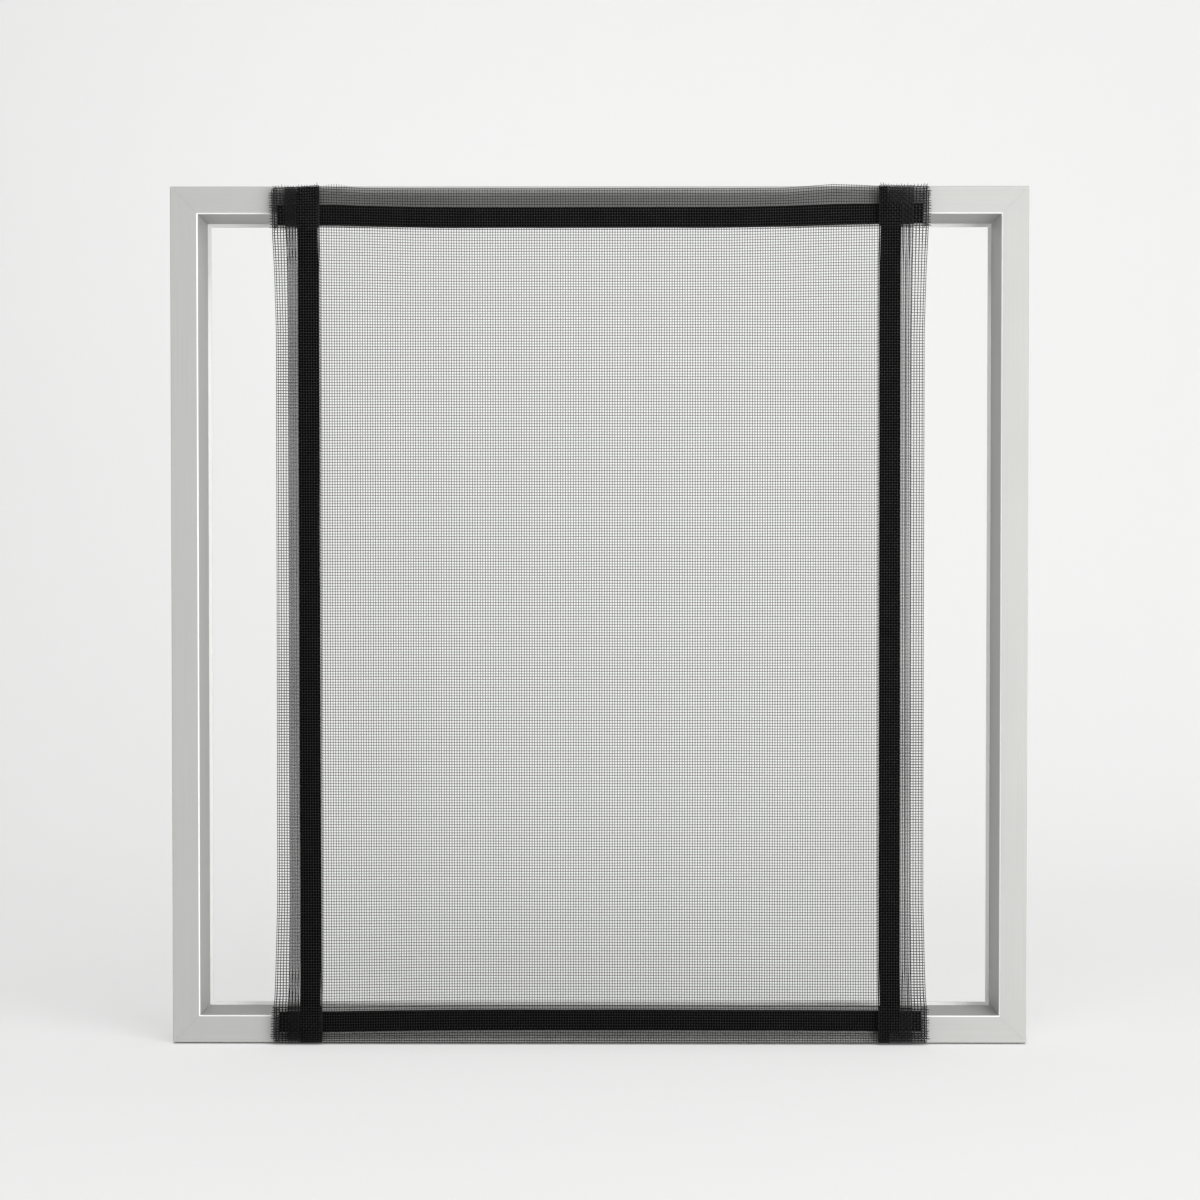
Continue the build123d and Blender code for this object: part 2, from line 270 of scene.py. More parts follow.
def drawn_aluminium(name, axis, colours):
    """Satin anodised aluminium, drawn along an axis: an even pale grey, dulled by its oxide layer.

    The lip and the rounded rim of the opening are given a near-white colour and less metal: a painted
    highlight, for the light they catch edge on.
    """
    material, tree, output = new_material(name)
    place = add_node(tree, "ShaderNodeTexCoord")
    # The die's lines lie about 0.1 mm apart, too fine to show here, so they are drawn 0.5 mm apart.
    line_length, line_spacing = 90 * MM, 0.5 * MM
    scale = [1 / line_length if i == axis else 1 / line_spacing for i in range(3)]
    along = add_node(
        tree, "ShaderNodeMapping", {"Vector": place.outputs["Object"], "Scale": scale}, vector_type="POINT"
    )
    lines = add_node(
        tree, "ShaderNodeTexNoise",
        {"Vector": along.outputs["Vector"], "Scale": 1.0, "Detail": 2.0, "Roughness": 0.5},
    )
    cloud_size = 60 * MM
    clouds = add_node(
        tree, "ShaderNodeTexNoise",
        {"Vector": place.outputs["Object"], "Scale": 1 / cloud_size, "Detail": 3.0, "Roughness": 0.55},
    )
    tone = add_node(
        tree, "ShaderNodeMapRange", {"Value": lines.outputs["Fac"], "From Min": 0.3, "From Max": 0.7}
    )
    face = add_node(
        tree, "ShaderNodeMix",
        {"Factor": tone.outputs["Result"], 6: colours.aluminium_dark, 7: colours.aluminium},
        data_type="RGBA",
    )
    depth = add_node(tree, "ShaderNodeSeparateXYZ", {"Vector": place.outputs["Object"]})
    # Painted highlight on the lip, which is all that lies behind its own front, and on the rim, where
    # the surface is half turned from the face to the inner sides of the opening.
    lip_front = FRAME_BOX[1][1] - LIP_THICKNESS - 0.05 * MM
    lip = add_node(tree, "ShaderNodeMath", {0: depth.outputs["Y"], 1: lip_front}, operation="GREATER_THAN")
    half_turned, half_turned_range = -0.6, 0.35
    surface = add_node(tree, "ShaderNodeNewGeometry")
    facing = add_node(tree, "ShaderNodeSeparateXYZ", {"Vector": surface.outputs["Normal"]})
    round_edge = add_node(
        tree, "ShaderNodeMath", {0: facing.outputs["Y"], 1: half_turned, 2: half_turned_range},
        operation="COMPARE",
    )
    across = add_node(tree, "ShaderNodeMath", {0: depth.outputs["X"]}, operation="ABSOLUTE")
    from_middle = add_node(
        tree, "ShaderNodeMath", {0: depth.outputs["Z"], 1: FRAME_BOX[1][2] / 2}, operation="SUBTRACT"
    )
    up = add_node(tree, "ShaderNodeMath", {0: from_middle.outputs[0]}, operation="ABSOLUTE")
    out = add_node(tree, "ShaderNodeMath", {0: across.outputs[0], 1: up.outputs[0]}, operation="MAXIMUM")
    within = add_node(tree, "ShaderNodeMath", {0: out.outputs[0], 1: RIM_REACH}, operation="LESS_THAN")
    rim = add_node(
        tree, "ShaderNodeMath", {0: round_edge.outputs[0], 1: within.outputs[0]}, operation="MULTIPLY"
    )
    painted_highlight = add_node(tree, "ShaderNodeMath", {0: lip.outputs[0], 1: rim.outputs[0]}, operation="MAXIMUM")
    base = add_node(
        tree, "ShaderNodeMix", {"Factor": painted_highlight.outputs[0], 6: face.outputs[2], 7: colours.lip},
        data_type="RGBA",
    )
    metal = add_node(
        tree, "ShaderNodeMapRange", {"Value": painted_highlight.outputs[0], "To Min": 0.6, "To Max": 0.1}
    )
    rough = add_node(
        tree, "ShaderNodeMapRange",
        {"Value": clouds.outputs["Fac"], "From Min": 0.3, "From Max": 0.7, "To Min": 0.60, "To Max": 0.64},
    )
    relief = add_node(
        tree, "ShaderNodeBump",
        {"Height": lines.outputs["Fac"], "Strength": 0.05, "Distance": 0.01 * MM},
    )
    shader = add_node(
        tree, "ShaderNodeBsdfPrincipled",
        {
            "Base Color": base.outputs[2],
            "Metallic": metal.outputs["Result"],
            "Roughness": rough.outputs["Result"],
            "Normal": relief.outputs["Normal"],
        },
    )
    tree.links.new(shader.outputs["BSDF"], output.inputs["Surface"])
    return material


def plain_metal(name, code, roughness, grain):
    """A bare grey metal with a fine even grain that breaks up its shine, as cast or as rolled."""
    material, tree, output = new_material(name)
    place = add_node(tree, "ShaderNodeTexCoord")
    pits = add_node(
        tree, "ShaderNodeTexNoise", {"Vector": place.outputs["Object"], "Scale": 1 / grain, "Detail": 4.0}
    )
    rough = add_node(
        tree, "ShaderNodeMapRange",
        {
            "Value": pits.outputs["Fac"], "From Min": 0.3, "From Max": 0.7,
            "To Min": roughness - 0.06, "To Max": roughness + 0.06,
        },
    )
    relief = add_node(
        tree, "ShaderNodeBump", {"Height": pits.outputs["Fac"], "Strength": 0.2, "Distance": 0.05 * MM}
    )
    shader = add_node(
        tree, "ShaderNodeBsdfPrincipled",
        {
            "Base Color": code,
            "Metallic": 1.0,
            "Roughness": rough.outputs["Result"],
            "Normal": relief.outputs["Normal"],
        },
    )
    tree.links.new(shader.outputs["BSDF"], output.inputs["Surface"])
    return material


def dark_polymer(name, dark, light, grain, roughness, specular):
    """A black polymer whose tone drifts a little between two colours, with a soft dull shine."""
    material, tree, output = new_material(name)
    place = add_node(tree, "ShaderNodeTexCoord")
    drift = add_node(
        tree, "ShaderNodeTexNoise",
        {"Vector": place.outputs["Object"], "Scale": 1 / grain, "Detail": 4.0, "Roughness": 0.6},
    )
    tone = add_node(
        tree, "ShaderNodeMapRange", {"Value": drift.outputs["Fac"], "From Min": 0.35, "From Max": 0.65}
    )
    base = add_node(
        tree, "ShaderNodeMix", {"Factor": tone.outputs["Result"], 6: dark, 7: light}, data_type="RGBA"
    )
    rough = add_node(
        tree, "ShaderNodeMapRange",
        {
            "Value": drift.outputs["Fac"], "From Min": 0.3, "From Max": 0.7,
            "To Min": roughness - 0.05, "To Max": roughness + 0.05,
        },
    )
    shader = add_node(
        tree, "ShaderNodeBsdfPrincipled",
        {
            "Base Color": base.outputs[2],
            "Roughness": rough.outputs["Result"],
            "Specular IOR Level": specular,
        },
    )
    tree.links.new(shader.outputs["BSDF"], output.inputs["Surface"])
    return material


def coated_yarn(name, dark, light):
    """Black PVC-coated yarn, with a painted highlight: its colour is painted paler where each thread rides
    over the next, as a glint, in random patches.

    The attribute "weave" holds the place among the threads, in pitches, and 1 for a thread that runs
    up or -1 for one across. The product of two cosines and that sign is 1 on a crown, -1 in a dip.
    """
    material, tree, output = new_material(name)
    place = add_node(tree, "ShaderNodeTexCoord")
    patch_size = 7 * MM
    drift = add_node(
        tree, "ShaderNodeTexNoise",
        {"Vector": place.outputs["Object"], "Scale": 1 / patch_size, "Detail": 4.0, "Roughness": 0.6},
    )
    weave = add_node(tree, "ShaderNodeAttribute", attribute_name="weave")
    parts = add_node(tree, "ShaderNodeSeparateXYZ", {"Vector": weave.outputs["Vector"]})
    wave = parts.outputs["Z"]
    for axis in ("X", "Y"):
        turn = add_node(tree, "ShaderNodeMath", {0: parts.outputs[axis], 1: math.pi}, operation="MULTIPLY")
        cosine = add_node(tree, "ShaderNodeMath", {0: turn.outputs[0]}, operation="COSINE")
        product = add_node(tree, "ShaderNodeMath", {0: wave, 1: cosine.outputs[0]}, operation="MULTIPLY")
        wave = product.outputs[0]
    crown = add_node(tree, "ShaderNodeMapRange", {"Value": wave, "From Min": 0.1})
    glint_patches = add_node(
        tree, "ShaderNodeMapRange",
        {"Value": drift.outputs["Fac"], "From Min": 0.35, "From Max": 0.65, "To Min": 0.5},
    )
    spot = add_node(tree, "ShaderNodeSeparateXYZ", {"Vector": place.outputs["Object"]})
    slope = add_node(tree, "ShaderNodeMath", {0: spot.outputs["X"], 1: spot.outputs["Z"]}, operation="ADD")
    glint_reach = 450 * MM
    # Painted light: the crowns' glints are painted strongest towards the upper right, where the key light
    # falls, and weakest along the left and the bottom.
    glint = add_node(
        tree, "ShaderNodeMapRange", {"Value": slope.outputs[0], "From Max": glint_reach, "To Min": 0.35}
    )
    glint_share = add_node(
        tree, "ShaderNodeMath", {0: glint_patches.outputs["Result"], 1: glint.outputs["Result"]},
        operation="MULTIPLY",
    )
    painted_glint = add_node(
        tree, "ShaderNodeMath", {0: crown.outputs["Result"], 1: glint_share.outputs[0]}, operation="MULTIPLY"
    )
    # Painted highlight: the crowns are painted in the glint colour, less so in random patches
    base = add_node(
        tree, "ShaderNodeMix", {"Factor": painted_glint.outputs[0], 6: dark, 7: light}, data_type="RGBA"
    )
    crimp = 0.12 * MM
    relief = add_node(tree, "ShaderNodeBump", {"Height": wave, "Strength": 1.0, "Distance": crimp})
    shader = add_node(
        tree, "ShaderNodeBsdfPrincipled",
        {
            "Base Color": base.outputs[2],
            "Roughness": 0.4,
            "Specular IOR Level": 0.25,
            "Normal": relief.outputs["Normal"],
        },
    )
    tree.links.new(shader.outputs["BSDF"], output.inputs["Surface"])
    return material


def dress(node, material):
    """Give a piece of the solid model its finished material."""
    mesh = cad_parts[node].data
    mesh.materials.clear()
    mesh.materials.append(material)


def smooth_step(low, high, value):
    """0 below low and 1 above high, with an even curve between."""
    t = min(max((value - low) / (high - low), 0.0), 1.0)
    return t * t * (3 - 2 * t)


def swell(place, middle, breadth):
    """1 at the middle, and falling off evenly on both sides of it."""
    return math.exp(-(((place - middle) / breadth) ** 2))


def evenly(first, last, steps):
    """Evenly spaced values from first to last, with this many steps between them."""
    return [first + (last - first) * k / steps for k in range(steps + 1)]


class Hem:
    """The section of a double-turned hem: out to the fold, back along the front, and in to the raw edge.

    The run along the cloth is fitted to its threads: those of the front layer lie over those of the
    main layer, and those of the turned-in layer lie a share of a pitch beside them. Beyond a loose
    first stretch, the turned-in cloth is crowded to a share of its pitch.
    """

    def __init__(self, outer, width, turned, front, fit=None, loose=1.0, crowding=1.0):
        self.loose = loose
        self.crowding = crowding
        self.turned = turned
        self.front = front
        self.fold_radius = front / 2
        self.turn_radius = (front - turned) / 2
        self.inner = outer - width + self.turn_radius
        self.fold_start = outer - self.fold_radius
        # A front layer's run and that of the cloth behind it add up to the length double. The run of
        # the layer turned in is by the length back more than that of the cloth behind it.
        if fit is None:
            self.double = 2 * self.fold_start + math.pi * self.fold_radius
            self.back = self.double - 2 * self.inner + math.pi * self.turn_radius
        else:
            self.double, self.back = fit
        self.fold_end = self.double - self.fold_start
        self.turn_start = self.double - self.inner
        self.turn_end = self.inner + self.back

    def fit(self, pitch, lean, beside):
        """The lengths around the two folds that bring the threads of the layers where they should lie."""
        double = round((self.double + lean) / pitch) * pitch - lean
        back = (round(self.back / pitch - beside) + beside) * pitch
        return double, back

    def place(self, run):
        """How far out and how far forward the cloth is after a run from the middle, and its turn."""
        if run <= self.fold_start:
            return run, 0.0, 0.0
        if run <= self.fold_end:
            turn = math.pi * (run - self.fold_start) / (self.fold_end - self.fold_start)
            out = self.fold_start + self.fold_radius * math.sin(turn)
            return out, self.fold_radius * (1 - math.cos(turn)), turn
        if run <= self.turn_start:
            return self.fold_start - (run - self.fold_end), self.front, math.pi
        if run <= self.turn_end:
            turn = math.pi * (run - self.turn_start) / (self.turn_end - self.turn_start)
            middle = (self.front + self.turned) / 2
            out = self.inner - self.turn_radius * math.sin(turn)
            return out, middle + self.turn_radius * math.cos(turn), math.pi + turn
        beyond = run - self.turn_end
        beyond = min(beyond, self.loose) + max(beyond - self.loose, 0.0) * self.crowding
        return self.inner + beyond, self.turned, 2 * math.pi

    def cut(self, turn_in):
        """The run of the raw edge of a hem with this much cloth turned in."""
        beyond = turn_in - self.turn_radius
        beyond = min(beyond, self.loose) + max(beyond - self.loose, 0.0) / self.crowding
        return self.turn_end + beyond

    def stations(self, cut):
        """Runs along the cloth, close together where it turns and at the ends of what is flat."""
        runs = evenly(self.fold_start, self.fold_end, FOLD_STEPS)
        runs.append((self.fold_end + self.turn_start) / 2)
        runs += evenly(self.turn_start, self.turn_end, FOLD_STEPS)
        runs.append(min(self.turn_end + self.loose, (self.turn_end + cut) / 2))
        runs.append(cut)
        return runs


class Panel:
    """The folded mesh panel: where a point of the flat cloth comes to lie."""

    def __init__(self, sheet, strip):
        self.sheet = sheet
        self.step = sheet.layer_step
        self.pocket = strip.thickness + sheet.layer_step + 2 * strip.room
        self.half_width = PANEL_WIDTH / 2
        self.half_height = PANEL_HEIGHT / 2
        self.middle = PANEL_BOTTOM + self.half_height
        self.base_y = FRAME_BOX[0][1] - TAPE_THICKNESS - self.step / 2 - TAPE_CLEARANCE
        self.strip_reach = self.half_width - STRIP_END_GAP
        self.side_loose = strip.width + 0.5 * MM
        # The hems are first made without a fit, which is then worked out from them.
        self.side_fit = self.cross_fit = None
        self.side_fit = self.side_hem(self.middle, 1).fit(sheet.warp_pitch, sheet.fold_lean, 0.5)
        self.cross_fit = {
            end: self.cross_hem(end, 0.0).fit(sheet.weft_pitch, sheet.fold_lean, 0.0) for end in (-1, 1)
        }
        self.left_cut = self.side_hem(self.middle, -1).cut(sheet.side_turn_in)
        self.right_cut = self.side_hem(self.middle, 1).cut(sheet.side_turn_in)
        self.top_cut = self.cross_hem(1, 0.0).cut(sheet.top_turn_in)
        self.bottom_cut = self.cross_hem(-1, 0.0).cut(sheet.bottom_turn_in)

    def hem_edge(self, end):
        """How far above or below the middle the inner edge of the top (1) or bottom (-1) hem lies."""
        return self.half_height - (self.sheet.top_hem if end > 0 else self.sheet.bottom_hem)

    def cross_hem(self, end, run_across):
        """The section of the top (1) or bottom (-1) hem, thinner past the ends of the strip in it."""
        width = self.sheet.top_hem if end > 0 else self.sheet.bottom_hem
        thin = smooth_step(self.strip_reach, self.strip_reach + THINNING_RUN, run_across)
        front = self.step + self.pocket + thin * (self.step - self.pocket)
        return Hem(self.half_height, width, self.step, front, self.cross_fit and self.cross_fit[end])

    def corner(self, height):
        """1 where a side hem lies over the top or bottom hem, and 0 away from the corners."""
        low = PANEL_BOTTOM + self.sheet.bottom_hem
        high = PANEL_BOTTOM + PANEL_HEIGHT - self.sheet.top_hem
        run = self.sheet.corner_run
        return 1 - smooth_step(low, low + run, height) * (1 - smooth_step(high - run, high, height))

    def side_levels(self, height):
        """How far forward the turned-in and the front layer of a side hem stand at a height."""
        corner = self.corner(height)
        turned = self.step + corner * (self.step + self.pocket)
        front = turned + self.pocket + corner * 4 * self.step
        return turned, front

    def side_hem(self, height, side):
        """The section of the left (-1) or right (1) hem at a height.

        Where the front layer is raised over a cross hem it is drawn in, so that its threads still
        lie over the others as seen from the front.
        """
        turned, front = self.side_levels(height)
        crowding = self.sheet.crowding_right if side > 0 else self.sheet.crowding_left
        fit = self.side_fit
        if fit:
            raised = front - self.side_levels(self.middle)[1]
            fit = (fit[0] - self.sheet.draw_in * raised * self.half_width, fit[1])
        return Hem(self.half_width, self.sheet.side_hem, turned, front, fit, self.side_loose, crowding)

    def drawn_across(self, side, out, share):
        """How far a point is drawn across, at a share of the half width and of the height.

        The sides are drawn in at mid-height and flare towards both ends, and the strips lean.
        """
        sheet = self.sheet
        at_strip = smooth_step(0.45, 0.86, out)
        at_edge = smooth_step(0.93, 1.0, out)
        lean = STRIP_DRIFT + sheet.strip_lean * (1 - 2 * share)
        flare = sheet.top_flare * smooth_step(0.82, 1.0, share)
        flare += sheet.bottom_flare * (1 - smooth_step(0.02, 0.2, share))
        flare += sheet.corner_flare * (1 - smooth_step(0.035, 0.06, share))
        shift = side * at_edge * (flare - sheet.waist)
        shift += at_strip * (1 - at_edge) * (lean - side * sheet.strip_inset)
        return shift + EDGE_DRIFT * at_edge

    def drawn_up(self, x, side, out, share, below):
        """How far a point is drawn up, in millimetres, by the wavy top edge and the strips' slants."""
        left = -side * out
        right = side * out
        # How far above the neat panel the top edge, the top strip and the bottom strip lie
        top_edge = -1.05 + 0.4 * smooth_step(0.8, 1.0, out)
        top_edge += sum(rise * swell(x, middle, breadth) for rise, middle, breadth in TOP_SWELLS)
        top_strip = -1.0 + 1.5 * smooth_step(0.45, 0.9, left) + 2.4 * smooth_step(0.3, 1.0, right)
        low_strip = -0.3 - 1.3 * smooth_step(0.3, 1.0, left) - 0.4 * smooth_step(0.3, 1.0, right)
        above = smooth_step(0.97, 1.0, share)
        rise = smooth_step(0.80, 0.955, share) * (top_strip + above * (top_edge - top_strip))
        return rise + (1 - smooth_step(0.045, 0.2, share)) * below * low_strip

    def settle(self, x, forward, height):
        """Draw a point of the neatly folded panel to where the stretched and wavy cloth lies.

        The lowest edge stays straight, as the panel stands just clear of the floor.
        """
        share = (height - PANEL_BOTTOM) / PANEL_HEIGHT
        out = abs(x) / self.half_width
        side = 1 if x > 0 else -1
        below = smooth_step(0.0, 0.016, share)
        shift = self.drawn_across(side, out, share)
        rise = self.drawn_up(x, side, out, share, below) * MM

        # Each wave is read in another layer of the noise, and only the open field billows.
        place = Vector((x / WAVE_ACROSS, height / WAVE_UP, 3.1))
        shift += SWAY * noise.noise(place)
        rise += below * HEAVE * noise.noise(place + Vector((0, 0, 9.7)))
        field = smooth_step(0.05, 0.12, share) * (1 - smooth_step(0.88, 0.95, share))
        forward += field * BILLOW * noise.noise(place * 0.45 + Vector((0, 0, 5.3)))
        return Vector((x + shift, self.base_y - forward, height + rise))

    def skew(self, along, turn, edge, under):
        """How far a fold that is a little out of true carries the cloth along its edge.

        The layer in front is carried by the first fold. The one turned in behind it is carried on by
        the second fold, and by the length given as under. Each edge has its own waves.
        """
        first = noise.noise(Vector((along / FOLD_WAVE, 1.7, edge)))
        second = noise.noise(Vector((along / TURN_WAVE, 7.3, edge)))
        over = min(turn / math.pi, 1.0)
        beyond = max(turn / math.pi - 1.0, 0.0)
        return self.sheet.skew * over * first + beyond * (under + self.sheet.skew * second)

    def place(self, across, up, lift):
        """Where a point of the flat cloth lies, lifted from its middle plane."""
        end = 1 if up > 0 else -1
        side = 1 if across > 0 else -1
        cross = self.cross_hem(end, abs(across))
        out, level, turn = cross.place(abs(up))
        # The top and bottom hems are only half as far out of true as those at the sides.
        across += 0.5 * self.skew(across, turn, 20 + end, 0.0)
        across *= 1 - self.sheet.draw_in * level
        out -= lift * math.sin(turn)
        level += lift * math.cos(turn)
        height = self.middle + end * out
        out, front, turn = self.side_hem(height, side).place(abs(across))
        height += self.skew(height, turn, 10 + side, self.sheet.weft_pitch / 2)
        height -= self.sheet.draw_in * front * (height - self.middle)
        out -= level * math.sin(turn)
        return self.settle(side * out, front + level * math.cos(turn), height)

    def warp_runs(self, across):
        """Stations up an upright thread."""
        runs = []
        for end, cut in ((-1, self.bottom_cut), (1, self.top_cut)):
            edge = self.hem_edge(end)
            drop_end = edge - self.sheet.corner_run
            flat = evenly(edge, drop_end, CORNER_STEPS) + [drop_end - gap for gap in FIELD_GAPS]
            runs += [end * r for r in flat + self.cross_hem(end, abs(across)).stations(cut)]
        return sorted(runs + [0.0])

    def weft_runs(self, up):
        """Stations along a level thread."""
        cross = self.cross_hem(1 if up > 0 else -1, 0.0)
        out = cross.place(abs(up))[0]
        height = self.middle + (out if up > 0 else -out)
        left = self.side_hem(height, -1).stations(self.left_cut)
        right = self.side_hem(height, 1).stations(self.right_cut)
        flat = [self.half_width * share for share in FIELD_SHARES]
        return sorted([-r for r in flat + left] + [0.0] + flat + right)


class Cloth:
    """The threads of the mesh panel, gathered into one mesh."""

    def __init__(self):
        self.vertices = []
        self.faces = []
        self.weave = []

    def add(self, points, side, radius, kind, weave):
        """Add a square-sectioned thread along some points, closed at both ends.

        Its kind is 1 for a thread that runs up and -1 for one that runs across, and the weave has
        its place among the threads, in pitches, at each point.
        """
        first = len(self.vertices)
        last = len(points) - 1
        for i, point in enumerate(points):
            before = (point - points[i - 1]).normalized() if i else None
            after = (points[i + 1] - point).normalized() if i < last else None
            along = ((before or after) + (after or before)).normalized()
            width = radius * (side - along * side.dot(along)).normalized()
            rise = along.cross(width)
            self.vertices += [point + width, point + rise, point - width, point - rise]
            self.weave += [*weave[i], kind] * 4
        for i in range(last):
            a = first + 4 * i
            for k in range(4):
                m = (k + 1) % 4
                self.faces.append((a + k, a + m, a + 4 + m, a + 4 + k))
        self.faces.append((first + 3, first + 2, first + 1, first))
        end = first + 4 * last
        self.faces.append((end, end + 1, end + 2, end + 3))

    def mesh(self, name):
        """The mesh of all threads, smooth and with its weave kept at every vertex."""
        mesh = bpy.data.meshes.new(name)
        mesh.from_pydata(self.vertices, [], self.faces)
        mesh.attributes.new("weave", "FLOAT_VECTOR", "POINT").data.foreach_set("vector", self.weave)
        mesh.polygons.foreach_set("use_smooth", [True] * len(mesh.polygons))
        mesh.update()
        return mesh


def frayed_ends(panel, sheet, cloth):
    """Short thread ends standing out around the four corners, where the hems cross.

    At the sides they stand out of the fold in two rows. Along the top they stand up from the back
    and the front layer, and where the side hem lies over the strip some hang from the top hem.
    """
    rng = random.Random(7)

    def stub(start, offset, kind):
        """One short thread, of the kind that runs up (1) or across (-1)."""
        side = Vector((1, 0, 0) if kind > 0 else (0, 0, 1))
        weave = [(0, 0), (0, 1) if kind > 0 else (1, 0)]
        cloth.add([start, start + offset], side, sheet.thread / 2, kind, weave)

    side_hem = panel.side_hem(panel.middle, 1)
    side_fold = (side_hem.fold_start + side_hem.fold_end) / 2
    for end in (-1, 1):
        cross = panel.cross_hem(end, 0.0)
        cross_fold = (cross.fold_start + cross.fold_end) / 2
        hem_edge = panel.hem_edge(end)
        for side in (-1, 1):
            for up in places(hem_edge, panel.half_height - sheet.weft_pitch, sheet.weft_pitch):
                root = panel.place(side * side_fold, end * up, 0.0)
                for depth in SIDE_ROWS:
                    reach = sheet.fray * rng.uniform(0.5, 1.4)
                    slant = rng.uniform(-0.35, 0.35) * MM
                    offset = Vector((side * (reach + SIDE_ROOT), rng.uniform(-0.3, 0.3) * MM, slant))
                    stub(root + Vector((-SIDE_ROOT * side, depth, 0)), offset, -1)
        if end < 0:
            continue
        for side in (-1, 1):
            inner = panel.half_width - sheet.side_hem
            for across in places(inner, panel.half_width, sheet.warp_pitch):
                root = panel.place(side * across, end * cross_fold, 0.0)
                forward = panel.side_levels(root.z)[1] - sheet.layer_step
                for depth in (0.0, -forward):
                    slant = rng.uniform(-0.3, 0.3) * MM
                    offset = Vector((slant, 0, sheet.fray * rng.uniform(0.3, 1.1) + TOP_ROOT))
                    stub(root + Vector((0, depth, -TOP_ROOT)), offset, 1)
                if across > inner + HANGING_FROM:
                    root = panel.place(side * across, end * hem_edge, 0.0)
                    offset = Vector((rng.uniform(-0.3, 0.3) * MM, 0, -rng.uniform(1.2, 2.8) * MM))
                    stub(root + Vector((0, -forward, TOP_ROOT)), offset, 1)


def places(low, high, pitch):
    """The multiples of a pitch from low to high."""
    return [i * pitch for i in range(math.ceil(low / pitch), math.floor(high / pitch) + 1)]


class SCREEN_OT_frame(bpy.types.Operator):
    """Finish the rails, stiles, corner keys and steel tapes"""

    bl_idname = "screen.frame"
    bl_label = "Aluminium Frame"

    def execute(self, context):
        colours = context.scene.screen_colours
        level = drawn_aluminium("anodised_aluminium_drawn_level", 0, colours)
        upright = drawn_aluminium("anodised_aluminium_drawn_upright", 2, colours)
        # The cast keys look dull and grainy, and the rolled tape smoother and a little brighter.
        cast = plain_metal("aluminium_as_cast", colours.cast, 0.55, 0.8 * MM)
        steel = plain_metal("steel_tape_rolled", colours.steel, 0.35, 0.3 * MM)
        for node in ("bottom_rail", "top_rail"):
            dress(node, level)
        for node in ("left_stile", "right_stile"):
            dress(node, upright)
        for side in ("bottom_left", "bottom_right", "top_left", "top_right"):
            dress(f"{side}_key", cast)
        for node in ("bottom_steel_tape", "top_steel_tape"):
            dress(node, steel)
        return {"FINISHED"}


class SCREEN_OT_mesh(bpy.types.Operator):
    """Weave the mesh panel thread by thread and fold its hems"""

    bl_idname = "screen.mesh"
    bl_label = "Mesh Panel"

    def execute(self, context):
        sheet = context.scene.screen_sheet
        panel = Panel(sheet, context.scene.screen_strip)
        radius = sheet.thread / 2
        lift = sheet.thread / 4
        warp_pitch = sheet.warp_pitch
        weft_pitch = sheet.weft_pitch
        cloth = Cloth()
        for across in places(-panel.left_cut, panel.right_cut, warp_pitch):
            runs = panel.warp_runs(across)
            points = [panel.place(across, up, lift) for up in runs]
            weave = [(across / warp_pitch, up / weft_pitch) for up in runs]
            cloth.add(points, Vector((1, 0, 0)), radius, 1, weave)
        for up in places(-panel.bottom_cut, panel.top_cut, weft_pitch):
            runs = panel.weft_runs(up)
            points = [panel.place(across, up, -lift) for across in runs]
            weave = [(across / warp_pitch, up / weft_pitch) for across in runs]
            cloth.add(points, Vector((0, 0, 1)), radius, -1, weave)
        frayed_ends(panel, sheet, cloth)
        mesh = cloth.mesh("woven_mesh_panel")
        piece = bpy.data.objects.new("woven_mesh_panel", mesh)
        context.scene.collection.objects.link(piece)
        colours = context.scene.screen_colours
        mesh.materials.append(coated_yarn("glass_fibre_yarn_pvc_coated", colours.thread, colours.thread_painted_glint))
        use(piece)
        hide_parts("mesh_sheet")
        return {"FINISHED"}


class SCREEN_OT_magnets(bpy.types.Operator):
    """Make the four flexible magnetic strips and lay them in the hems"""

    bl_idname = "screen.magnets"
    bl_label = "Magnetic Strips"

    def execute(self, context):
        strip = context.scene.screen_strip
        panel = Panel(context.scene.screen_sheet, strip)
        colours = context.scene.screen_colours
        # The strips look solid black and almost without shine, with a faint powdery drift.
        rubber = dark_polymer(
            "flexible_magnet_extruded", colours.magnet, colours.magnet_dust, 1.5 * MM, 0.85, 0.04
        )
        for node in ("bottom_magnet_strip", "top_magnet_strip", "left_magnet_strip", "right_magnet_strip"):
            lay_strip(context, node, strip, panel, rubber)
        return {"FINISHED"}


def strip_blank(context, name, low, high, axis, strip, stations):
    """A strip in a box, drawn out along an axis from station to station from its rounded end."""
    bpy.ops.object.select_all(action="DESELECT")
    middle = [(a + b) / 2 for a, b in zip(low, high)]
    middle[axis] = low[axis]
    turn = (0, math.pi / 2, 0) if axis == 0 else (0, 0, 0)
    bpy.ops.mesh.primitive_plane_add(size=1, location=middle, rotation=turn)
    blank = context.active_object
    blank.name = name
    blank.scale = (strip.width, strip.thickness, 1)
    bpy.ops.object.transform_apply(location=True, rotation=True, scale=True)
    bpy.ops.object.mode_set(mode="EDIT")
    bpy.ops.mesh.select_all(action="SELECT")
    bpy.ops.mesh.bevel(offset=strip.edge, segments=3, affect="VERTICES")
    for before, after in zip(stations, stations[1:]):
        stride = [0.0, 0.0, 0.0]
        stride[axis] = after - before
        bpy.ops.mesh.extrude_region_move(TRANSFORM_OT_translate={"value": stride})
    bpy.ops.mesh.select_all(action="SELECT")
    bpy.ops.mesh.normals_make_consistent(inside=False)
    bpy.ops.object.mode_set(mode="OBJECT")
    return blank


